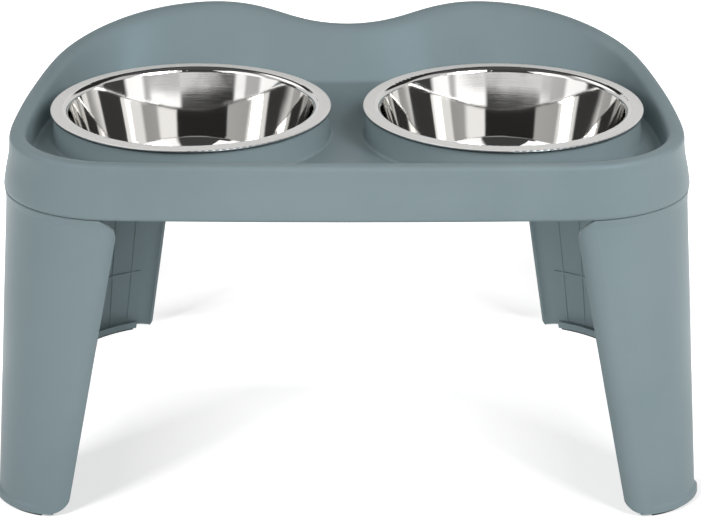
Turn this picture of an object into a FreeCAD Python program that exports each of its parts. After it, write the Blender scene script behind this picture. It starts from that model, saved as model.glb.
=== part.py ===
import FreeCAD, Part
import math
import os

from FreeCAD import Vector

# Bowls
bowl_diameter = 240.0
bowl_gap = 27.0
bowl_depth = 78.0
bowl_base_diameter = 174.5
bowl_sheet = 1.0
bowl_rim_width = 9.8
bowl_rim_bend = 4.0
bowl_base_bend = 24.0
bowl_bead = 3.2

# Collars that carry the bowls
collar_height = 25.0
collar_flare = 3.4
collar_fillet = 2.4
collar_edge = 0.8
bowl_fit = 0.6
bead_fit = 0.6

# Tray section, with heights counted from the foot of the skirt
tray_wall = 3.0
skirt_draft = 3.8
rim_width = 14.0
front_rim_height = 45.5
lobe_rim_height = 82.5
waist_dip = 6.5
rim_rise_power = 2.7
basin_height = 24.0
basin_fillet = 4.0
front_wall_lean = 6.0
back_wall_lean = 42.0
wall_lean_power = 4.0
lip_height = 16.0
lip_land = 3.0
lip_reach = 2.2
lip_edge = 0.8

# Tray outline in plan, set out from the bowls
side_gutter = 15.5
front_gutter = 14.0
back_margin = 100.0
front_bow_radius = 5000.0
front_corner_radius = 100.0
side_bow_radius = 600.0
lobe_margin = 37.5
lobe_inset = 15.5
waist_radius = 110.0

# Stiffening ribs under the basin
tray_rib_width = 2.4
tray_rib_drop = 13.0
back_rib_gap = 10.0

# Legs
leg_height = 256.0
leg_wall = 3.2
leg_inset = 2.0
side_splay = 8.6
front_splay = 20.61
rear_side_splay = 3.2
rear_splay = 26.53
front_foot_radius = 58.0
rear_foot_radius = 110.0
front_foot_angles = (-79.0, -11.0)
front_top_angles = (-83.4, -6.6)
rear_foot_angles = (18.3, 68.3)
rear_top_angles = (17.5, 70.5)
curl_radius = 16.0
curl_turn = 65.0
foot_lip_height = 9.0
foot_lip_reach = 2.4
leg_lip_height = 14.0
leg_lip_reach = 1.4
leg_lip_share = 0.25
parting_gap = 0.8
leg_corner_radius = 18.0
toe_radius = 14.0
rear_toe_radius = 6.0

# Push-in tongue at the top of each leg
tongue_height = 20.0
tongue_wall = 3.0
tongue_fit = 0.4
tongue_margin = 6.0
shoulder_height = 10.0
guide_width = 2.4
guide_length = 30.0

# Ribs and base flange inside each leg
leg_rib_width = 2.3
leg_rib_depth = 0.9
leg_rib_pitch = 10.0
cross_rib_height = 60.0
cross_rib_depth = 1.4
flange_depth = 9.0
flange_thickness = 2.5
flange_margin = 3.0
upstand_height = 6.5
upstand_wall = 2.2

# Foot pads
pad_thickness = 2.0
pad_inset = 3.0

# Samples along each stretch of the outline: front, corner, side, lobe, waist
outline_counts = (4, 8, 4, 11, 3)

# Sizes that follow from those above
bowl_radius = bowl_diameter / 2
bowl_spacing = bowl_diameter + bowl_gap
rim_inset = lip_reach + skirt_draft + rim_width
tray_width = bowl_spacing + bowl_diameter + 2 * (rim_inset + side_gutter)
tray_depth = rim_inset + front_gutter + bowl_diameter + back_margin
front_edge = -tray_depth / 2
bowl_y = front_edge + rim_inset + front_gutter + bowl_radius
basin_floor = leg_height + basin_height
collar_land = basin_floor + collar_height
rim_plane = collar_land + bowl_sheet
bowl_neck = bowl_radius - bowl_rim_width
collar_hole = bowl_neck + bowl_fit
collar_top = bowl_radius - bowl_bead - bead_fit
collar_base = collar_top + collar_flare


def polar(radius, angle):
    return Vector(radius * math.cos(angle), radius * math.sin(angle), 0)


def bearing(start, end):
    return math.atan2(end.y - start.y, end.x - start.x)


def at_height(point, height):
    return Vector(point.x, point.y, height)


def between(start, end, share):
    return start + (end - start) * share


def line(start, end):
    return Part.LineSegment(start, end).toShape()


def arc(centre, radius, start, end):
    points = [centre + polar(radius, between(start, end, share)) for share in (0, 0.5, 1)]
    return Part.Arc(*points).toShape()


def mirrored(shape):
    return shape.mirror(Vector(), Vector(1, 0, 0))


def inner_meeting(first, first_radius, second, second_radius):
    """Crossing of two circles that lies nearer the middle of the tray."""
    apart = (second - first).Length
    along = (second - first) / apart
    reach = (first_radius ** 2 - second_radius ** 2 + apart ** 2) / (2 * apart)
    aside = math.sqrt(first_radius ** 2 - reach ** 2)
    foot = first + along * reach
    across = Vector(-along.y, along.x, 0) * aside
    return min((foot + across, foot - across), key=lambda point: point.x)


# Centres of the arcs that make the right half of the outline
front_centre = Vector(0, front_edge + front_bow_radius, 0)
corner_x = tray_width / 2 - front_corner_radius
corner_drop = math.sqrt((front_bow_radius - front_corner_radius) ** 2 - corner_x ** 2)
corner_centre = Vector(corner_x, front_centre.y - corner_drop, 0)
lobe_radius = bowl_radius + lobe_margin
lobe_centre = Vector(bowl_spacing / 2 - lobe_inset, tray_depth / 2 - lobe_radius, 0)
side_centre = inner_meeting(
    corner_centre, side_bow_radius - front_corner_radius,
    lobe_centre, side_bow_radius - lobe_radius)
waist_rise = math.sqrt((lobe_radius + waist_radius) ** 2 - lobe_centre.x ** 2)
waist_centre = Vector(0, lobe_centre.y + waist_rise, 0)


def outline_frames():
    """Points round the tray's lip, each with its direction into the tray."""
    front_turn = bearing(front_centre, corner_centre)
    side_turn = bearing(side_centre, corner_centre)
    lobe_turn = bearing(side_centre, lobe_centre)
    waist_turn = bearing(lobe_centre, waist_centre)
    stretches = (
        (front_centre, front_bow_radius, -math.pi / 2, front_turn, 1),
        (corner_centre, front_corner_radius, front_turn, side_turn, 1),
        (side_centre, side_bow_radius, side_turn, lobe_turn, 1),
        (lobe_centre, lobe_radius, lobe_turn, waist_turn, 1),
        (waist_centre, waist_radius, waist_turn - math.pi, -math.pi / 2, -1),
    )
    right = []
    for (centre, radius, start, end, side), count in zip(stretches, outline_counts):
        for step in range(count):
            angle = between(start, end, step / count)
            right.append((centre + polar(radius, angle), polar(-side, angle)))
    back = (waist_centre - Vector(0, waist_radius, 0), Vector(0, -1, 0))
    left = [(Vector(-p.x, p.y, 0), Vector(-n.x, n.y, 0)) for p, n in right[:0:-1]]
    return right + [back] + left


def depth_share(point):
    return (point.y - (front_centre.y - front_bow_radius)) / tray_depth


def rim_height(point):
    """The rim sweeps up from the front to the lobes and dips at the waist."""
    rise = (lobe_rim_height - front_rim_height) * depth_share(point) ** rim_rise_power
    across = point.x / lobe_centre.x
    if point.y > 0 and abs(across) < 1:
        rise -= waist_dip * (1 - across ** 2) ** 2
    return front_rim_height + rise


def rim_polygon(point, skin):
    """Control points (inset, height) of the rim's section, set in by the skin."""
    lean_change = back_wall_lean - front_wall_lean
    lean = math.radians(front_wall_lean + lean_change * depth_share(point) ** wall_lean_power)
    crest = leg_height + rim_height(point)
    top = crest - skin
    bottom = basin_floor - skin
    turn = min(rim_width - 2 * skin, (top - bottom) / 2)
    fillet = min(basin_fillet + skin, (top - bottom) / 3)
    foot = lip_reach + skin
    brow = foot + skirt_draft

    def bank_at(height):
        return rim_inset + (crest - height) * math.tan(lean) - skin / math.cos(lean)

    skirt = [
        (foot + skirt_draft / 2, (leg_height + top) / 2),
        (brow, top - turn),
        (brow, top),
    ]
    basin = [
        (bank_at(top), top),
        (bank_at(top - turn), top - turn),
        (bank_at(bottom + fillet), bottom + fillet),
        (bank_at(bottom), bottom),
        (bank_at(bottom) + fillet, bottom),
    ]
    if skin:
        return [(foot, leg_height)] + skirt + basin
    lip = [
        (lip_edge, leg_height),
        (0, leg_height + lip_edge),
        (0, leg_height + lip_land),
        (lip_reach, leg_height + lip_height),
    ]
    return lip + skirt + basin


def rim_surface(frames, shares, skin):
    """Smooth surface on control rings, with its first and last ring as wires."""
    sections = [rim_polygon(point, skin) for point, inward in frames]
    rings = []
    for ring_sections in zip(*sections):
        points = [
            at_height(point + inward * inset, height)
            for (point, inward), (inset, height) in zip(frames, ring_sections)]
        ring = Part.BSplineCurve()
        ring.interpolate(Points=points, PeriodicFlag=True, Parameters=shares)
        rings.append(ring)
    degree = 2
    knots = list(range(len(rings) - degree + 1))
    ends = [degree + 1]
    inner = [1 for knot in knots[1:-1]]
    surface = Part.BSplineSurface()
    surface.buildFromPolesMultsKnots(
        list(zip(*[ring.getPoles() for ring in rings])),
        rings[0].getMultiplicities(), ends + inner + ends,
        rings[0].getKnots(), knots,
        True, False, rings[0].Degree, degree)
    return surface.toShape(), Part.Wire(rings[0].toShape()), Part.Wire(rings[-1].toShape())


def section_point(radius, height):
    return Vector(radius, 0, height)


def rounded_section(points, radii):
    """Edges through points of a section, with each inner corner rounded."""
    edges = []
    last = points[0]
    for before, corner, after, radius in zip(points, points[1:], points[2:], radii):
        back = (before - corner).normalize()
        ahead = (after - corner).normalize()
        half = back.getAngle(ahead) / 2
        start = corner + back * (radius / math.tan(half))
        end = corner + ahead * (radius / math.tan(half))
        middle = corner + (back + ahead).normalize() * (radius / math.sin(half) - radius)
        edges.append(line(last, start))
        edges.append(Part.Arc(start, middle, end).toShape())
        last = end
    edges.append(line(last, points[-1]))
    return edges


def bowl_centre(side):
    return Vector(side * bowl_spacing / 2, bowl_y, 0)


def revolve(shape, centre):
    turned = shape.revolve(Vector(), Vector(0, 0, 1), 360)
    turned.translate(centre)
    return turned


def bowl(side):
    """Pressed sheet bowl with a flat rim and a rolled bead at its edge."""
    edge = bowl_radius - bowl_bead / 2
    neck = bowl_neck - bowl_rim_bend
    base = bowl_base_diameter / 2
    slope = math.atan2(neck - base, bowl_depth - bowl_sheet)
    across = bowl_sheet / math.cos(slope)
    climb = bowl_sheet * math.tan(slope)
    under = rim_plane - bowl_sheet
    bottom = rim_plane - bowl_depth
    outside = rounded_section(
        [section_point(edge, under), section_point(neck, under),
         section_point(base, bottom), section_point(0, bottom)],
        [bowl_rim_bend, bowl_base_bend + bowl_sheet])
    inside = rounded_section(
        [section_point(0, bottom + bowl_sheet),
         section_point(base + climb - across, bottom + bowl_sheet),
         section_point(neck + climb - across, rim_plane), section_point(edge, rim_plane)],
        [bowl_base_bend, bowl_rim_bend + bowl_sheet])
    ends = [line(section_point(0, bottom), section_point(0, bottom + bowl_sheet)),
            line(section_point(edge, rim_plane), section_point(edge, under))]
    sheet = Part.Face(Part.Wire(outside + ends[:1] + inside + ends[1:]))
    bead = Part.makeTorus(edge, bowl_bead / 2, Vector(0, 0, rim_plane - bowl_bead / 2))
    bead.translate(bowl_centre(side))
    return revolve(sheet, bowl_centre(side)).fuse(bead).removeSplitter()


def collar_skin(side):
    """Skin of one collar, from the basin's floor over the land to the underside."""
    slope = math.atan2(collar_flare, collar_height)
    thickness = tray_wall / math.cos(slope)
    spread = collar_flare * tray_wall / collar_height
    outside = rounded_section(
        [section_point(collar_base + collar_fillet, basin_floor),
         section_point(collar_base, basin_floor),
         section_point(collar_top, collar_land), section_point(collar_hole, collar_land)],
        [collar_fillet, collar_edge])
    under_base = collar_base + spread - thickness
    inside = [
        section_point(collar_hole, collar_land),
        section_point(collar_hole, collar_land - tray_wall),
        section_point(collar_top + spread - thickness, collar_land - tray_wall),
        section_point(under_base, basin_floor - tray_wall)]
    profile = Part.Wire(outside + [line(*pair) for pair in zip(inside, inside[1:])])
    return revolve(profile, bowl_centre(side)).Faces, collar_base + collar_fillet, under_base


def floor_plate(ring, hole_radius, height):
    centres = [at_height(bowl_centre(side), height) for side in (-1, 1)]
    holes = [Part.Wire(Part.makeCircle(hole_radius, centre)) for centre in centres]
    return Part.makeFace([ring] + holes, "Part::FaceMakerBullseye")


def tray_skin():
    """Rim, basin and collars as one moulding of even thickness."""
    frames = outline_frames()
    points = [point for point, inward in frames]
    steps = [(end - start).Length for start, end in zip(points, points[1:] + points[:1])]
    shares = [sum(steps[:count]) / sum(steps) for count in range(len(steps) + 1)]
    upper, upper_foot, upper_floor = rim_surface(frames, shares, 0)
    lower, lower_foot, lower_floor = rim_surface(frames, shares, tray_wall)
    faces = [upper, lower, Part.makeFace([upper_foot, lower_foot], "Part::FaceMakerBullseye")]
    for side in (-1, 1):
        collar_faces, floor_hole, under_hole = collar_skin(side)
        faces += collar_faces
    faces.append(floor_plate(upper_floor, floor_hole, basin_floor))
    faces.append(floor_plate(lower_floor, under_hole, basin_floor - tray_wall))
    skin = Part.makeShell(faces)
    skin.sewShape()
    return Part.makeSolid(skin)


def upright(start, end, width, bottom, top):
    """Upright rib of a given width along a line in plan."""
    length = (end - start).Length
    rib = Part.makeBox(length, width, top - bottom, Vector(0, -width / 2, bottom))
    rib.rotate(Vector(), Vector(0, 0, 1), math.degrees(bearing(start, end)))
    rib.translate(start)
    return rib


def annular(centre, inner, outer, start, end, height):
    """Closed wire of a ring sector in plan."""
    centre = at_height(centre, height)
    corners = [centre + polar(radius, angle)
               for radius, angle in ((outer, end), (inner, end), (inner, start), (outer, start))]
    return Part.Wire([
        arc(centre, outer, start, end), line(corners[0], corners[1]),
        arc(centre, inner, end, start), line(corners[2], corners[3])])


class Leg:
    """Corner shell that tapers from the tray's outline to its foot."""

    def __init__(self, top, foot, toe_radii, lip_shares):
        self.top_centre, self.outline_radius, self.top_span = top
        self.foot_centre, self.foot_radius, self.foot_span = foot
        self.toe_radii = toe_radii
        self.lip_shares = lip_shares

    def centre(self, height):
        return between(self.foot_centre, self.top_centre, height / leg_height)

    def radius(self, height):
        return between(self.foot_radius, self.outline_radius - leg_inset, height / leg_height)

    def span(self, height):
        """First and last angle of the main arc."""
        pairs = zip(self.foot_span, self.top_span)
        return [math.radians(between(low, high, height / leg_height)) for low, high in pairs]

    def section(self, height, first_proud, last_proud):
        """C-shaped section whose two ends curl inward, its face proud by given amounts."""
        centre = at_height(self.centre(height), height)
        radius = self.radius(height)
        turn = math.radians(curl_turn)
        runs = []
        for angle, way in zip(self.span(height), (-1, 1)):
            hub = centre + polar(radius - curl_radius, angle)
            runs.append((hub, angle, angle + way * turn))
        (first, first_angle, first_end), (last, last_angle, last_end) = runs
        first_outer = curl_radius + first_proud
        last_outer = curl_radius + last_proud
        inner = curl_radius - leg_wall
        face = [
            centre + polar(radius + between(first_proud, last_proud, share),
                           between(first_angle, last_angle, share))
            for share in (0, 0.5, 1)]
        return Part.Wire([
            arc(first, first_outer, first_end, first_angle),
            Part.Arc(*face).toShape(),
            arc(last, last_outer, last_angle, last_end),
            line(last + polar(last_outer, last_end), last + polar(inner, last_end)),
            arc(last, inner, last_end, last_angle),
            arc(centre, radius - leg_wall, last_angle, first_angle),
            arc(first, inner, first_angle, first_end),
            line(first + polar(inner, first_end), first + polar(first_outer, first_end)),
        ])

    def sector(self, low, high, inner, outer, margin):
        """Ring sector between two heights, its depths counted from the leg's face."""
        wires = []
        for height in (low, high):
            radius = self.radius(height)
            slack = margin / radius
            start, end = self.span(height)
            wires.append(annular(
                self.centre(height), radius - inner, radius - outer,
                start + slack, end - slack, height))
        return Part.makeLoft(wires, True, True)

    def wing_end(self, which, height):
        """Outermost point of the first or second curled wing end."""
        angle = self.span(height)[which]
        turn = math.radians(curl_turn) * (-1, 1)[which]
        hub = self.centre(height) + polar(self.radius(height) - curl_radius, angle)
        return at_height(hub + polar(curl_radius, angle + turn), height)

    def corner_cut(self, which, low, high, radius):
        """Wedge that rounds one free corner of a wing, at the low or high height."""
        corner = self.wing_end(which, low)
        along_wing = polar((1, -1)[which], self.span(low)[which] + math.pi / 2)
        along_edge = (self.wing_end(which, high) - corner).normalize()
        half = along_wing.getAngle(along_edge) / 2
        reach = radius / math.tan(half)
        start = corner + along_wing * reach
        end = corner + along_edge * reach
        bisector = (along_wing + along_edge).normalize()
        middle = corner + bisector * (radius / math.sin(half) - radius)
        outside = corner - bisector * (2 * radius)
        wire = Part.Wire([
            Part.Arc(start, middle, end).toShape(), line(end, outside), line(outside, start)])
        across = wire.Edges[0].Curve.Axis * (2 * curl_radius)
        wedge = Part.Face(wire)
        wedge.translate(across * -1)
        return wedge.extrude(across * 2)

    def body(self):
        """Shell with a lip at the outer side of its foot and one along its top edge."""
        top = leg_height - parting_gap
        foot_lip = [foot_lip_reach * share for share in self.lip_shares]
        sections = [
            self.section(pad_thickness, *foot_lip),
            self.section(foot_lip_height - foot_lip_reach, *foot_lip),
            self.section(foot_lip_height, 0, 0),
        ]
        top_levels = (
            (leg_height - leg_lip_height, 0),
            (leg_height - leg_lip_height / 2, leg_lip_reach * leg_lip_share),
            (top - lip_edge, leg_lip_reach),
            (top, leg_lip_reach - lip_edge),
        )
        sections += [self.section(height, reach, reach) for height, reach in top_levels]
        cuts = []
        for which, toe in enumerate(self.toe_radii):
            cuts.append(self.corner_cut(which, pad_thickness, top, toe))
            cuts.append(self.corner_cut(which, top, pad_thickness, leg_corner_radius))
        return Part.makeLoft(sections, True, True).cut(cuts)

    def base(self):
        """Flange inside the foot, with an upstand along its edge."""
        edge = leg_wall + flange_depth
        flange = self.sector(
            pad_thickness, pad_thickness + flange_thickness, edge, leg_wall / 2, flange_margin)
        upstand = self.sector(
            pad_thickness, pad_thickness + upstand_height,
            edge, edge - upstand_wall, flange_margin)
        return [flange, upstand]

    def ribs(self):
        """Shallow ribs inside the shell: uprights at a pitch, and one across."""
        low = pad_thickness + flange_thickness / 2
        high = leg_height - shoulder_height / 2
        pitch = math.radians(leg_rib_pitch)
        start, end = self.span(low)
        count = int((end - start) / pitch)
        ribs = []
        for number in range(count):
            wires = []
            for height in (low, high):
                radius = self.radius(height)
                half = leg_rib_width / 2 / radius
                angle = sum(self.span(height)) / 2 + (number - (count - 1) / 2) * pitch
                wires.append(annular(
                    self.centre(height), radius - leg_wall - leg_rib_depth, radius - leg_wall / 2,
                    angle - half, angle + half, height))
            ribs.append(Part.makeLoft(wires, True, True))
        ribs.append(self.sector(
            cross_rib_height, cross_rib_height + leg_rib_width,
            leg_wall + cross_rib_depth, leg_wall / 2, flange_margin))
        return ribs

    def tongue(self):
        """Shoulder under the tray's lip and the tongue that stands inside its skirt."""
        face = lip_reach + tray_wall + tongue_fit
        back = face + tongue_wall
        start, end = self.span(leg_height)
        lowest_rim = min(
            rim_height(self.top_centre + polar(self.outline_radius, angle))
            for angle in (start, end))
        lean = skirt_draft * tongue_height / (lowest_rim - tray_wall)
        shoulder = self.sector(
            leg_height - shoulder_height, leg_height,
            back - leg_inset, leg_wall / 2, tongue_margin)
        slack = tongue_margin / self.outline_radius
        foot, head = [
            annular(self.top_centre, self.outline_radius - back - shift,
                    self.outline_radius - face - shift,
                    start + slack, end - slack, height)
            for shift, height in (
                (0, leg_height - shoulder_height / 2), (lean, leg_height + tongue_height))]
        return [shoulder, Part.makeLoft([foot, head], True, True)]

    def solid(self):
        details = self.base() + self.ribs() + self.tongue()
        return self.body().fuse(details).removeSplitter()

    def pad(self):
        return self.sector(
            0, pad_thickness, leg_wall + flange_depth - pad_inset / 2,
            pad_inset / 2, flange_margin + pad_inset)

    def guides(self):
        """Fins under the tray that stand at both ends of the tongue."""
        fins = []
        face = lip_reach + tray_wall
        for angle, way in zip(self.span(leg_height), (1, -1)):
            reach = self.outline_radius - face
            slack = tongue_margin / self.outline_radius
            gap = (tongue_fit + guide_width / 2) / (self.outline_radius - guide_length)
            line_angle = angle + way * slack - way * gap
            fins.append(upright(
                self.top_centre + polar(reach, line_angle),
                self.top_centre + polar(reach - guide_length, line_angle),
                guide_width, basin_floor - tray_wall / 2 - tray_rib_drop,
                basin_floor - tray_wall / 2))
        return fins


front_foot = Vector(
    tray_width / 2 + side_splay - front_foot_radius,
    front_edge - front_splay + front_foot_radius, 0)
rear_reach = lobe_radius - rear_foot_radius
rear_foot = lobe_centre + Vector(rear_reach + rear_side_splay, rear_reach + rear_splay, 0)
front_leg = Leg(
    (corner_centre, front_corner_radius, front_top_angles),
    (front_foot, front_foot_radius, front_foot_angles),
    toe_radii=(toe_radius, toe_radius), lip_shares=(0, 1))
rear_leg = Leg(
    (lobe_centre, lobe_radius, rear_top_angles),
    (rear_foot, rear_foot_radius, rear_foot_angles),
    toe_radii=(toe_radius, rear_toe_radius), lip_shares=(1, 0))


def tray():
    """Tray with its stiffening ribs and the guides for the four legs."""
    top = basin_floor - tray_wall / 2
    bottom = top - tray_rib_drop
    inset = lip_reach + tray_wall
    back_rib_y = bowl_y + collar_base + back_rib_gap
    lobe_reach = math.sqrt((lobe_radius - guide_length) ** 2 - (back_rib_y - lobe_centre.y) ** 2)
    back_rib_end = Vector(lobe_centre.x + lobe_reach, back_rib_y, 0)
    rib_lines = (
        (Vector(0, front_edge + inset, 0), Vector(0, waist_centre.y - waist_radius - inset, 0)),
        (Vector(-back_rib_end.x, back_rib_y, 0), back_rib_end),
    )
    ribs = [upright(start, end, tray_rib_width, bottom, top) for start, end in rib_lines]
    for leg in (front_leg, rear_leg):
        for fin in leg.guides():
            ribs += [fin, mirrored(fin)]
    return tray_skin().fuse(ribs).removeSplitter()


nodes = {"tray": tray(), "left_bowl": bowl(-1), "right_bowl": bowl(1)}
for place, leg in (("front", front_leg), ("rear", rear_leg)):
    leg_solid = leg.solid()
    pad_solid = leg.pad()
    nodes[place + "_right_leg"] = leg_solid
    nodes[place + "_left_leg"] = mirrored(leg_solid)
    nodes[place + "_right_foot_pad"] = pad_solid
    nodes[place + "_left_foot_pad"] = mirrored(pad_solid)

os.makedirs("parts", exist_ok=True)
for name, shape in nodes.items():
    shape.exportStep("parts/" + name + ".step")
    box = shape.BoundBox
    print(name, shape.isValid(), len(shape.Solids), round(shape.Volume),
          [round(v, 1) for v in (box.XMin, box.XMax, box.YMin, box.YMax, box.ZMin, box.ZMax)])
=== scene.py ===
import bpy
import math
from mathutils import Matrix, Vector


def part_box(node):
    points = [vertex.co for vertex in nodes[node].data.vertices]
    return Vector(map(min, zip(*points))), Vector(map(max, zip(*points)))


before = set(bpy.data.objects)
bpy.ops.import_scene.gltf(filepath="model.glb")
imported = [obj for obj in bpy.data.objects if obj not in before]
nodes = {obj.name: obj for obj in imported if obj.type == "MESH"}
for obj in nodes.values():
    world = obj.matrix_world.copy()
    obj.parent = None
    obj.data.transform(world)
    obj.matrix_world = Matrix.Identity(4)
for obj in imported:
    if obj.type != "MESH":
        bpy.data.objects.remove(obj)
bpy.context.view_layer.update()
print("frame loaded with", len(nodes), "nodes")


# Helpers for node trees

def addNode(tree, kind, place, **settings):
    node = tree.nodes.new(kind)
    node.location = place
    for name, value in settings.items():
        setattr(node, name, value)
    return node


def setInputs(node, **values):
    for name, value in values.items():
        node.inputs[name.replace("_", " ")].default_value = value
    return node


def link(tree, source, target):
    tree.links.new(source, target)


def mathNode(tree, operation, place, first, second=None, clamp=False):
    node = addNode(tree, "ShaderNodeMath", place, operation=operation, use_clamp=clamp)
    for socket, value in zip(node.inputs, (first, second)):
        if value is None:
            continue
        if isinstance(value, (int, float)):
            socket.default_value = value
        else:
            link(tree, value, socket)
    return node.outputs[0]


def mapRange(tree, place, value, low, high, toLow, toHigh, smooth=True):
    node = addNode(tree, "ShaderNodeMapRange", place)
    node.interpolation_type = "SMOOTHSTEP" if smooth else "LINEAR"
    link(tree, value, node.inputs["Value"])
    setInputs(node, From_Min=low, From_Max=high, To_Min=toLow, To_Max=toHigh)
    return node.outputs["Result"]


def mixColour(tree, place, factor, first, second):
    mix = addNode(tree, "ShaderNodeMix", place, data_type="RGBA")
    link(tree, factor, mix.inputs["Factor"])
    for name, value in (("A", first), ("B", second)):
        socket = next(s for s in mix.inputs if s.name == name and s.type == "RGBA")
        if isinstance(value, tuple):
            socket.default_value = value
        else:
            link(tree, value, socket)
    return next(s for s in mix.outputs if s.type == "RGBA")


def mixShader(tree, place, factor, first, second):
    mix = addNode(tree, "ShaderNodeMixShader", place)
    for socket, source in zip(mix.inputs, (factor, first, second)):
        link(tree, source, socket)
    return mix.outputs["Shader"]


def addBump(tree, place, height, strength, distance):
    bump = addNode(tree, "ShaderNodeBump", place)
    setInputs(bump, Strength=strength, Distance=distance)
    link(tree, height, bump.inputs["Height"])
    return bump


def newGroup(name, inputs, outputs):
    group = bpy.data.node_groups.new(name, "ShaderNodeTree")
    for label, kind, value in inputs:
        socket = group.interface.new_socket(label, in_out="INPUT", socket_type=kind)
        if value is not None:
            socket.default_value = value
    for label, kind in outputs:
        group.interface.new_socket(label, in_out="OUTPUT", socket_type=kind)
    start = addNode(group, "NodeGroupInput", (-900, 0))
    end = addNode(group, "NodeGroupOutput", (900, 0))
    return group, start, end


def placeGroup(tree, group, place, vector, **values):
    node = addNode(tree, "ShaderNodeGroup", place, node_tree=group)
    link(tree, vector, node.inputs["Vector"])
    return setInputs(node, **values)


def newMaterial(name):
    material = bpy.data.materials.new(name)
    material.use_nodes = True
    tree = material.node_tree
    tree.nodes.clear()
    output = addNode(tree, "ShaderNodeOutputMaterial", (900, 0))
    shader = addNode(tree, "ShaderNodeBsdfPrincipled", (600, 0))
    link(tree, shader.outputs["BSDF"], output.inputs["Surface"])
    coords = addNode(tree, "ShaderNodeTexCoord", (-1200, 0))
    return material, tree, shader, coords.outputs["Object"]


# Fine grain of a mould and slow clouds of tone

def makeMouldGrain():
    group, start, end = newGroup(
        "mouldGrain",
        [("Vector", "NodeSocketVector", None), ("Grain Scale", "NodeSocketFloat", 900.0),
         ("Cloud Scale", "NodeSocketFloat", 9.0)],
        [("Cloud", "NodeSocketFloat"), ("Grain", "NodeSocketFloat")])
    cloud = addNode(group, "ShaderNodeTexNoise", (-500, 200))
    setInputs(cloud, Detail=4.0, Roughness=0.55)
    grain = addNode(group, "ShaderNodeTexNoise", (-500, -150))
    setInputs(grain, Detail=3.0, Roughness=0.6)
    for texture, scale in ((cloud, "Cloud Scale"), (grain, "Grain Scale")):
        link(group, start.outputs["Vector"], texture.inputs["Vector"])
        link(group, start.outputs[scale], texture.inputs["Scale"])
    link(group, cloud.outputs["Fac"], end.inputs["Cloud"])
    link(group, grain.outputs["Fac"], end.inputs["Grain"])
    return group


# Thin marks of handling, gathered in patches

rubShape = {
    "turn": (0.5, 0.2, 0.7),
    "stretch": (1.0, 9.0, 14.0),
    "patchScale": 5.0,
    "streakEdge": (0.6, 0.78),
    "patchEdge": (0.48, 0.68),
}


def makeRubMarks(shape):
    group, start, end = newGroup(
        "rubMarks",
        [("Vector", "NodeSocketVector", None), ("Scale", "NodeSocketFloat", 30.0),
         ("Amount", "NodeSocketFloat", 0.5)],
        [("Mask", "NodeSocketFloat")])
    stretch = addNode(group, "ShaderNodeMapping", (-700, 0))
    setInputs(stretch, Rotation=shape["turn"], Scale=shape["stretch"])
    link(group, start.outputs["Vector"], stretch.inputs["Vector"])
    streaks = addNode(group, "ShaderNodeTexNoise", (-500, 100))
    setInputs(streaks, Detail=5.0, Roughness=0.7)
    link(group, stretch.outputs["Vector"], streaks.inputs["Vector"])
    link(group, start.outputs["Scale"], streaks.inputs["Scale"])
    patches = addNode(group, "ShaderNodeTexNoise", (-500, -200))
    setInputs(patches, Scale=shape["patchScale"], Detail=2.0)
    link(group, start.outputs["Vector"], patches.inputs["Vector"])
    thin = mapRange(group, (-250, 100), streaks.outputs["Fac"], *shape["streakEdge"], 0.0, 1.0)
    where = mapRange(group, (-250, -200), patches.outputs["Fac"], *shape["patchEdge"], 0.0, 1.0)
    both = mathNode(group, "MULTIPLY", (100, 0), thin, where)
    shown = mathNode(group, "MULTIPLY", (350, 0), both, start.outputs["Amount"], clamp=True)
    link(group, shown, end.inputs["Mask"])
    return group


# Lines around a turned piece, and the slow unevenness of its sheet

spinShape = {
    "lineTurn": 0.002,  # change of a line on its way around
    "waveRise": 3.0,  # change of the wave with height
    "waveFade": (0.03, 0.075),  # radii between which the wave comes in
}


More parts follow.
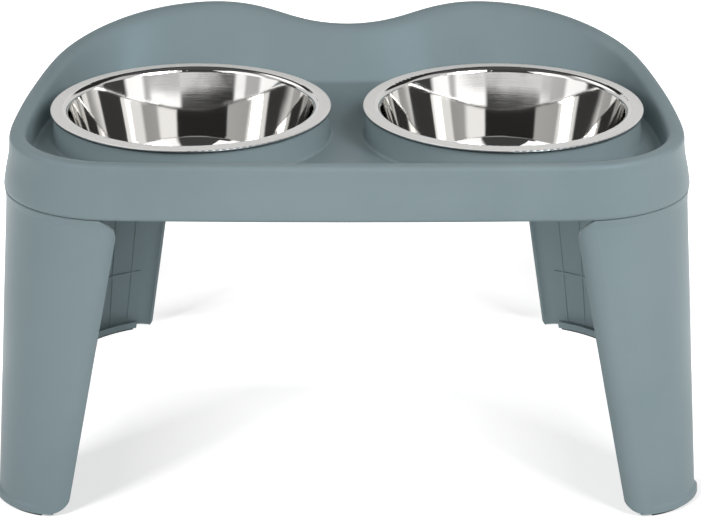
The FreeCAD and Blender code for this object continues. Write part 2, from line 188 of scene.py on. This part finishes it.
def makeSpinLines(shape):
    group, start, end = newGroup(
        "spinLines",
        [("Vector", "NodeSocketVector", None), ("Centre", "NodeSocketVector", (0, 0, 0)),
         ("Line Scale", "NodeSocketFloat", 900.0), ("Wave Scale", "NodeSocketFloat", 2.2)],
        [("Lines", "NodeSocketFloat"), ("Wave", "NodeSocketFloat"), ("Radius", "NodeSocketFloat"),
         ("Height", "NodeSocketFloat")])
    local = addNode(group, "ShaderNodeVectorMath", (-700, 0), operation="SUBTRACT")
    link(group, start.outputs["Vector"], local.inputs[0])
    link(group, start.outputs["Centre"], local.inputs[1])
    parts = addNode(group, "ShaderNodeSeparateXYZ", (-500, 0))
    link(group, local.outputs["Vector"], parts.inputs["Vector"])
    x, y, z = parts.outputs
    squareX = mathNode(group, "POWER", (-300, 250), x, 2.0)
    squareY = mathNode(group, "POWER", (-300, 100), y, 2.0)
    squares = mathNode(group, "ADD", (-100, 200), squareX, squareY)
    radius = mathNode(group, "SQRT", (100, 200), squares)
    turn = mathNode(group, "ARCTAN2", (-300, -100), y, x)
    around = addNode(group, "ShaderNodeCombineXYZ", (250, 0))
    link(group, radius, around.inputs["X"])
    link(group, mathNode(group, "MULTIPLY", (-100, -100), turn, shape["lineTurn"]), around.inputs["Y"])
    link(group, z, around.inputs["Z"])
    lines = addNode(group, "ShaderNodeTexNoise", (450, 0))
    setInputs(lines, Detail=4.0, Roughness=0.65)
    link(group, around.outputs["Vector"], lines.inputs["Vector"])
    link(group, start.outputs["Line Scale"], lines.inputs["Scale"])
    ring = addNode(group, "ShaderNodeCombineXYZ", (-100, -300))
    link(group, mathNode(group, "COSINE", (-200, -300), turn), ring.inputs["X"])
    link(group, mathNode(group, "SINE", (-200, -450), turn), ring.inputs["Y"])
    link(group, mathNode(group, "MULTIPLY", (-200, -600), z, shape["waveRise"]), ring.inputs["Z"])
    wave = addNode(group, "ShaderNodeTexNoise", (100, -300))
    setInputs(wave, Detail=1.0, Roughness=0.4)
    link(group, ring.outputs["Vector"], wave.inputs["Vector"])
    link(group, start.outputs["Wave Scale"], wave.inputs["Scale"])
    fade = mapRange(group, (300, -450), radius, *shape["waveFade"], 0.0, 1.0)
    level = mathNode(group, "SUBTRACT", (300, -300), wave.outputs["Fac"], 0.5)
    link(group, mathNode(group, "MULTIPLY", (500, -300), level, fade), end.inputs["Wave"])
    link(group, lines.outputs["Fac"], end.inputs["Lines"])
    link(group, radius, end.inputs["Radius"])
    link(group, z, end.inputs["Height"])
    return group


mouldGrain = makeMouldGrain()
rubMarks = makeRubMarks(rubShape)
spinLines = makeSpinLines(spinShape)
print("shared effects made")


# Moulded plastic of the tray and legs

plasticLook = {
    "dark": (0.192, 0.2455, 0.262, 1.0),
    "light": (0.216, 0.2717, 0.288, 1.0),
    "sheen": (0.55, 0.9, 1.0, 1.0),
    "rubbed": (0.30, 0.37, 0.40, 1.0),
    "cloudEdge": (0.3, 0.7),
    "roughness": (0.40, 0.52),
    "ior": 1.49,
    "specular": 0.35,
    "cloudScale": 7.0,
    "grainScale": 1100.0,
    "grainDepth": 0.00006,
    "grainStrength": 0.18,
    "rubScale": 24.0,
    "rubAmount": 0.22,
}


def makePlastic(look):
    material, tree, shader, coords = newMaterial("blueGreyPlastic")
    grain = placeGroup(tree, mouldGrain, (-900, 100), coords,
                       Grain_Scale=look["grainScale"], Cloud_Scale=look["cloudScale"])
    rubs = placeGroup(tree, rubMarks, (-900, -250), coords,
                      Scale=look["rubScale"], Amount=look["rubAmount"])
    tone = mapRange(tree, (-600, 200), grain.outputs["Cloud"], *look["cloudEdge"], 0.0, 1.0)
    base = mixColour(tree, (-300, 250), tone, look["dark"], look["light"])
    worn = mixColour(tree, (0, 250), rubs.outputs["Mask"], base, look["rubbed"])
    link(tree, worn, shader.inputs["Base Color"])
    rough = mapRange(tree, (-300, 0), grain.outputs["Cloud"], *look["cloudEdge"], *look["roughness"])
    link(tree, rough, shader.inputs["Roughness"])
    bump = addBump(tree, (300, -200), grain.outputs["Grain"], look["grainStrength"], look["grainDepth"])
    link(tree, bump.outputs["Normal"], shader.inputs["Normal"])
    setInputs(shader, IOR=look["ior"], Specular_IOR_Level=look["specular"], Specular_Tint=look["sheen"])
    return material


# Pressed steel of the bowls: mirror inside, satin on the flat rim, painted shade under the bead

steelLook = {
    "mirror": (0.72, 0.71, 0.695, 1.0),
    "satin": (0.77, 0.76, 0.74, 1.0),
    # painted shade: dark grey on the bead below the rim top, standing in for the rim's shadow
    "paintedShadeUnderBead": (0.20, 0.23, 0.24, 1.0),
    "mirrorRoughness": 0.042,
    "satinRoughness": 0.36,
    "satinMetal": 0.25,
    "rimEdge": (0.1094, 0.1108),  # radii between which the satin begins
    "beadEdge": (-0.0011, -0.0004),  # heights from the top of the rim
    "waveScale": 2.2,
    "waveDepth": 0.0006,
    "lineScale": 1400.0,
    "lineEdge": (0.35, 0.65),
    "lineRoughness": 0.012,
    "lineDepth": 0.00002,
    "lineStrength": 0.12,
    "rubScale": 60.0,
    "rubAmount": 0.35,
    "rubRoughness": 0.12,
}


def makeSteel(node, look):
    low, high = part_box(node)
    centre = Vector(((low.x + high.x) / 2, (low.y + high.y) / 2, high.z))
    material, tree, shader, coords = newMaterial(node + "Steel")
    spin = placeGroup(tree, spinLines, (-900, 0), coords, Centre=centre,
                      Line_Scale=look["lineScale"], Wave_Scale=look["waveScale"])
    rubs = placeGroup(tree, rubMarks, (-900, -300), coords,
                      Scale=look["rubScale"], Amount=look["rubAmount"])
    outer = mapRange(tree, (-600, 100), spin.outputs["Radius"], *look["rimEdge"], 0.0, 1.0)
    upper = mapRange(tree, (-600, 300), spin.outputs["Height"], *look["beadEdge"], 0.0, 1.0)
    rim = mathNode(tree, "MULTIPLY", (-400, 200), outer, upper)
    # painted shade: the bead's face below the rim top gets the dark grey, as the shadow under the rim
    beadShadeMask = mathNode(tree, "SUBTRACT", (-400, 400), outer, rim)
    mirrorAndBeadShade = mixColour(tree, (-200, 350), beadShadeMask, look["mirror"], look["paintedShadeUnderBead"])
    colour = mixColour(tree, (0, 250), rim, mirrorAndBeadShade, look["satin"])
    link(tree, colour, shader.inputs["Base Color"])
    metal = mapRange(tree, (-300, 150), rim, 0.0, 1.0, 1.0, look["satinMetal"], False)
    link(tree, metal, shader.inputs["Metallic"])
    finish = look["mirrorRoughness"], look["satinRoughness"]
    base = mapRange(tree, (-300, 0), outer, 0.0, 1.0, *finish, False)
    lines = mapRange(tree, (-300, -200), spin.outputs["Lines"], *look["lineEdge"], 0.0, look["lineRoughness"])
    lined = mathNode(tree, "ADD", (0, -50), base, lines)
    marks = mathNode(tree, "MULTIPLY", (-100, -350), rubs.outputs["Mask"], look["rubRoughness"])
    rough = mathNode(tree, "ADD", (150, -50), lined, marks)
    link(tree, rough, shader.inputs["Roughness"])
    wave = addBump(tree, (100, -450), spin.outputs["Wave"], 1.0, look["waveDepth"])
    bump = addBump(tree, (300, -250), spin.outputs["Lines"], look["lineStrength"], look["lineDepth"])
    link(tree, wave.outputs["Normal"], bump.inputs["Normal"])
    link(tree, bump.outputs["Normal"], shader.inputs["Normal"])
    return material


# Rubber of the foot pads

padLook = {
    "dark": (0.018, 0.020, 0.022, 1.0),
    "light": (0.034, 0.037, 0.040, 1.0),
    "grainScale": 1600.0,
    "cloudScale": 60.0,
    "grainEdge": (0.3, 0.7),
    "roughness": (0.7, 0.9),
    "grainStrength": 0.4,
    "grainDepth": 0.0001,
}


def makeRubber(look):
    material, tree, shader, coords = newMaterial("padRubber")
    grain = placeGroup(tree, mouldGrain, (-900, 0), coords,
                       Grain_Scale=look["grainScale"], Cloud_Scale=look["cloudScale"])
    colour = mixColour(tree, (0, 200), grain.outputs["Cloud"], look["dark"], look["light"])
    link(tree, colour, shader.inputs["Base Color"])
    rough = mapRange(tree, (0, 0), grain.outputs["Grain"], *look["grainEdge"], *look["roughness"])
    link(tree, rough, shader.inputs["Roughness"])
    bump = addBump(tree, (300, -200), grain.outputs["Grain"], look["grainStrength"], look["grainDepth"])
    link(tree, bump.outputs["Normal"], shader.inputs["Normal"])
    return material


plastic = makePlastic(plasticLook)
rubber = makeRubber(padLook)
for name, node in nodes.items():
    if name.endswith("bowl"):
        node.data.materials[0] = makeSteel(name, steelLook)
    elif name.endswith("pad"):
        node.data.materials[0] = rubber
    else:
        node.data.materials[0] = plastic
print("materials assigned")


# White studio, and the greys that the steel mirrors: by azimuth in degrees (0 is the front),
# in four bands of elevation

roomLook = {
    "skyLight": 0.22,
    "seenWhite": 1.0,
    "strength": 1.6,
    "bands": ("low", "middle", "high", "top"),
    "bandEdges": (10.12, 17.0, 56.0),
    "bandSoft": (0.08, 2.0, 4.0),
    "bend": (0.055, 1.49),  # first edge sinks by this share of azimuth squared, in radians
    "backLift": (80.0, 110.0, 10.0),  # second edge rises towards the back
    "low": [(-180, 0.45), (-150, 0.4), (-134, 0.35), (-131, 0.05), (-122, 0.4), (-115, 0.4),
            (-112, 0.04), (-91, 0.04), (-88, 0.8), (-68, 0.85), (-64, 0.36), (-52, 0.36),
            (-49, 0.85), (-42, 0.85), (-39, 0.01), (12, 0.01), (15, 1.0), (42, 1.0), (46, 0.4),
            (49, 0.4), (52, 0.9), (66, 0.85), (70, 0.04), (93, 0.04), (97, 0.45), (112, 0.4),
            (116, 0.1), (124, 0.4), (150, 0.4), (180, 0.45)],
    "middle": [(-180, 0.52), (-150, 0.5), (-118, 0.45), (-113, 0.04), (-91, 0.04), (-88, 0.8),
               (-68, 0.85), (-64, 0.36), (-42, 0.42), (-39, 0.64), (12, 0.62), (15, 0.38),
               (48, 0.36), (52, 0.9), (66, 0.85), (70, 0.04), (93, 0.04), (97, 0.45),
               (120, 0.45), (150, 0.5), (180, 0.52)],
    "high": [(-180, 0.02), (-149, 0.02), (-145, 1.0), (-112, 1.0), (-104, 0.4), (-77, 0.36),
             (-72, 0.9), (-44, 0.85), (-40, 0.04), (17, 0.04), (21, 0.85), (60, 0.85), (64, 0.4),
             (106, 0.45), (109, 0.02), (180, 0.02)],
    "top": [(-180, 0.08), (-90, 0.05), (90, 0.05), (180, 0.08)],
}


def azimuthRamp(tree, place, turn, stops):
    node = addNode(tree, "ShaderNodeValToRGB", place)
    link(tree, turn, node.inputs["Fac"])
    ramp = node.color_ramp
    for number, (degrees, grey) in enumerate(stops):
        share = degrees / 360 + 0.5
        ends = {0: ramp.elements[0], len(stops) - 1: ramp.elements[-1]}
        stop = ends.get(number) or ramp.elements.new(share)
        stop.position = share
        stop.color = (grey, grey, grey, 1.0)
    return node.outputs["Color"]


def makeMirrorRoom(tree, room):
    coords = addNode(tree, "ShaderNodeTexCoord", (-1800, -300))
    parts = addNode(tree, "ShaderNodeSeparateXYZ", (-1600, -300))
    link(tree, coords.outputs["Generated"], parts.inputs["Vector"])
    x, y, z = parts.outputs
    front = mathNode(tree, "MULTIPLY", (-1400, -200), y, -1.0)
    angle = mathNode(tree, "ARCTAN2", (-1200, -200), x, front)
    turn = mapRange(tree, (-1000, -200), angle, -math.pi, math.pi, 0.0, 1.0, False)
    rise = mathNode(tree, "ARCSINE", (-1200, -500), z)
    bands = [azimuthRamp(tree, (-800, -200 - 250 * row), turn, room[name])
             for row, name in enumerate(room["bands"])]
    share, most = room["bend"]
    square = mathNode(tree, "MULTIPLY", (-1200, -700), angle, angle)
    held = mathNode(tree, "MINIMUM", (-1000, -700), square, most)
    sunk = mathNode(tree, "MULTIPLY", (-800, -700), held, share)
    firstRise = mathNode(tree, "ADD", (-600, -700), rise, sunk)
    begin, end, lift = (math.radians(value) for value in room["backLift"])
    side = mathNode(tree, "ABSOLUTE", (-1200, -900), angle)
    lifted = mapRange(tree, (-1000, -900), side, begin, end, 0.0, lift)
    secondRise = mathNode(tree, "SUBTRACT", (-800, -900), rise, lifted)
    colour = bands[0]
    edges = zip(bands[1:], (firstRise, secondRise, rise), room["bandEdges"], room["bandSoft"])
    for row, (band, level, edge, soft) in enumerate(edges):
        low, high = math.radians(edge - soft), math.radians(edge + soft)
        above = mapRange(tree, (-500 + 200 * row, -1100), level, low, high, 0.0, 1.0)
        colour = mixColour(tree, (-400 + 200 * row, -300), above, colour, band)
    background = addNode(tree, "ShaderNodeBackground", (200, -300))
    link(tree, colour, background.inputs["Color"])
    setInputs(background, Strength=room["strength"])
    return background.outputs["Background"]


def plainSky(tree, place, strength):
    background = addNode(tree, "ShaderNodeBackground", place)
    setInputs(background, Color=(1, 1, 1, 1), Strength=strength)
    return background.outputs["Background"]


def makeWorld(room):
    world = bpy.data.worlds.new("whiteStudio")
    bpy.context.scene.world = world
    world.use_nodes = True
    tree = world.node_tree
    tree.nodes.clear()
    light = plainSky(tree, (200, 150), room["skyLight"])
    white = plainSky(tree, (200, 0), room["seenWhite"])
    mirrored = makeMirrorRoom(tree, room)
    path = addNode(tree, "ShaderNodeLightPath", (-100, 400))
    camera, through = path.outputs["Is Camera Ray"], path.outputs["Is Transmission Ray"]
    seen = mathNode(tree, "MAXIMUM", (200, 400), camera, through)
    plain = mixShader(tree, (450, 100), seen, light, white)
    whole = mixShader(tree, (650, 0), path.outputs["Is Glossy Ray"], plain, mirrored)
    output = addNode(tree, "ShaderNodeOutputWorld", (850, 100))
    link(tree, whole, output.inputs["Surface"])


# White floor that keeps the shadows of the legs

floorLook = {
    "size": 14.0,
    "colour": (0.45, 0.45, 0.45, 1.0),
    "bounceColour": (0.30, 0.30, 0.30, 1.0),  # for light thrown back at the stand
    "glow": (0.50, 1.1),  # near the middle, and beyond the stand
    "glowReach": (0.40, 0.64),
    "middleGlow": (0.02, 0.2, 0.3, 0.0),  # distances from the middle line, then the glow added
    "outerGlow": (0.28, 0.36, 0.0, 0.45),
    "rearGlow": 0.3,
    "rearGlowStart": (0.05, 0.11),
    "rearGlowEnd": (0.20, 0.24),
}


def makePlane(name, width, height):
    mesh = bpy.data.meshes.new(name)
    x, y = width / 2, height / 2
    mesh.from_pydata([(-x, -y, 0), (x, -y, 0), (x, y, 0), (-x, y, 0)], [], [(0, 1, 2, 3)])
    plane = bpy.data.objects.new(name, mesh)
    bpy.context.scene.collection.objects.link(plane)
    return plane


def glowLevel(tree, coords, look):
    away = addNode(tree, "ShaderNodeVectorMath", (-700, -400), operation="LENGTH")
    link(tree, coords, away.inputs[0])
    level = mapRange(tree, (-400, -400), away.outputs["Value"], *look["glowReach"], *look["glow"])
    parts = addNode(tree, "ShaderNodeSeparateXYZ", (-700, -600))
    link(tree, coords, parts.inputs["Vector"])
    x, y, z = parts.outputs
    side = mathNode(tree, "ABSOLUTE", (-500, -600), x)
    middle = mapRange(tree, (-300, -600), side, *look["middleGlow"], False)
    outer = mapRange(tree, (-300, -850), side, *look["outerGlow"])
    past = mapRange(tree, (-300, -1100), y, *look["rearGlowStart"], 0.0, look["rearGlow"])
    before = mapRange(tree, (-300, -1350), y, *look["rearGlowEnd"], 1.0, 0.0)
    rear = mathNode(tree, "MULTIPLY", (-100, -1200), past, before)
    for row, extra in enumerate((middle, outer, rear)):
        level = mathNode(tree, "ADD", (-100 + 150 * row, -600), level, extra)
    return level


def makeFloor(look):
    floor = makePlane("floor", look["size"], look["size"])
    material, tree, shader, coords = newMaterial("whiteFloor")
    tree.nodes.remove(shader)
    path = addNode(tree, "ShaderNodeLightPath", (-700, 300))
    camera, bounced, glossy, through = (
        path.outputs["Is " + ray + " Ray"] for ray in ("Camera", "Diffuse", "Glossy", "Transmission"))
    colour = mixColour(tree, (0, 200), bounced, look["colour"], look["bounceColour"])
    diffuse = addNode(tree, "ShaderNodeBsdfDiffuse", (200, 100))
    link(tree, colour, diffuse.inputs["Color"])
    either = mathNode(tree, "MAXIMUM", (-500, -100), camera, glossy)
    seen = mathNode(tree, "MAXIMUM", (-300, -100), either, through)
    strength = mathNode(tree, "MULTIPLY", (0, -100), seen, glowLevel(tree, coords, look))
    glow = addNode(tree, "ShaderNodeEmission", (200, -100))
    link(tree, strength, glow.inputs["Strength"])
    both = addNode(tree, "ShaderNodeAddShader", (500, 0))
    link(tree, diffuse.outputs["BSDF"], both.inputs[0])
    link(tree, glow.outputs["Emission"], both.inputs[1])
    clear = addNode(tree, "ShaderNodeBsdfTransparent", (500, -200))
    facing = addNode(tree, "ShaderNodeNewGeometry", (500, 300))
    oneSided = mixShader(tree, (700, 0), facing.outputs["Backfacing"],
                         both.outputs["Shader"], clear.outputs["BSDF"])  # clear from below
    link(tree, oneSided, tree.nodes["Material Output"].inputs["Surface"])
    floor.data.materials.append(material)
    return floor


# Lamps: degrees from the front and above the floor, metres, watts

standAim = (0.0, -0.02, 0.24)
floorAim = (0.0, 0.0, 0.0)
softboxes = {
    "leftSoftbox": {"azimuth": -42.0, "elevation": 38.0, "distance": 2.6,
                    "size": (0.9, 1.2), "watts": 5.0},
    "rightSoftbox": {"azimuth": 42.0, "elevation": 38.0, "distance": 2.6,
                     "size": (0.9, 1.2), "watts": 30.0},
}
fills = {
    "frontFill": {"azimuth": 4.0, "elevation": 24.0, "distance": 3.0,
                  "size": (1.6, 0.8), "watts": 32.5},
    "leftFill": {"azimuth": -72.0, "elevation": 24.0, "distance": 3.0,
                 "size": (1.0, 1.0), "watts": 18.0},
    "rightFill": {"azimuth": 80.0, "elevation": 30.0, "distance": 3.0,
                  "size": (1.0, 1.0), "watts": 9.0},
    "backFill": {"azimuth": 176.0, "elevation": 10.0, "distance": 3.0,
                 "size": (1.8, 0.6), "watts": 34.0},
}
rearFills = {
    "rearFill": {"azimuth": -6.0, "elevation": 7.0, "distance": 3.0,
                 "size": (0.6, 0.4), "watts": 32.0},
}
floorLamps = {
    "leftFloorLamp": {"azimuth": -46.0, "elevation": 38.0, "distance": 2.6,
                      "size": (0.75, 0.4), "watts": 68.0},
    "rightFloorLamp": {"azimuth": 45.0, "elevation": 38.0, "distance": 2.6,
                       "size": (0.75, 0.4), "watts": 46.0},
}


def makeLamp(name, spec, target):
    data = bpy.data.lights.new(name, "AREA")
    data.shape = "RECTANGLE"
    data.size, data.size_y = spec["size"]
    data.energy = spec["watts"]
    lamp = bpy.data.objects.new(name, data)
    bpy.context.scene.collection.objects.link(lamp)
    turn, rise = math.radians(spec["azimuth"]), math.radians(spec["elevation"])
    away = Vector((math.sin(turn) * math.cos(rise), -math.cos(turn) * math.cos(rise), math.sin(rise)))
    lamp.location = Vector(target) + away * spec["distance"]
    lamp.rotation_mode = "QUATERNION"
    lamp.rotation_quaternion = away.to_track_quat("Z", "Y")
    return lamp


def lightSet(lamps, target, receivers, blockers=None, mirrored=False):
    for name, spec in lamps.items():
        lamp = makeLamp(name, spec, target)
        lamp.light_linking.receiver_collection = receivers
        if blockers:
            lamp.light_linking.blocker_collection = blockers
        lamp.visible_glossy = mirrored


def gather(name, objects):
    collection = bpy.data.collections.new(name)
    for obj in objects:
        collection.objects.link(obj)
    return collection


makeWorld(roomLook)
floor = makeFloor(floorLook)
wholeStand = gather("litByBoxes", nodes.values())
floorOnly = gather("litByFloorLamps", [floor])
legsOnly = gather("shadeOfLegs", [node for name, node in nodes.items() if name.endswith(("leg", "pad"))])
rearLegs = gather("litByRearFill", [node for name, node in nodes.items() if name.startswith("rear")])
lightSet(softboxes, standAim, wholeStand, mirrored=True)
lightSet(fills, standAim, wholeStand)
lightSet(rearFills, standAim, rearLegs)
lightSet(floorLamps, floorAim, floorOnly, blockers=legsOnly)
print("studio lit")


# Camera

cameraLook = {
    "place": (0.0030, -2.143, 0.997),
    "pitch": 21.57,  # degrees below level
    "lens": 132.96,
    "sensor": 36.0,
    "clipEnd": 50.0,
}


def makeCamera(look):
    data = bpy.data.cameras.new("photoCamera")
    data.lens = look["lens"]
    data.sensor_width = look["sensor"]
    data.clip_end = look["clipEnd"]
    camera = bpy.data.objects.new("photoCamera", data)
    camera.location = look["place"]
    camera.rotation_euler = (math.radians(90 - look["pitch"]), 0, 0)
    bpy.context.scene.collection.objects.link(camera)
    bpy.context.scene.camera = camera


makeCamera(cameraLook)
bpy.context.scene.view_settings.view_transform = "Standard"
print("camera placed")
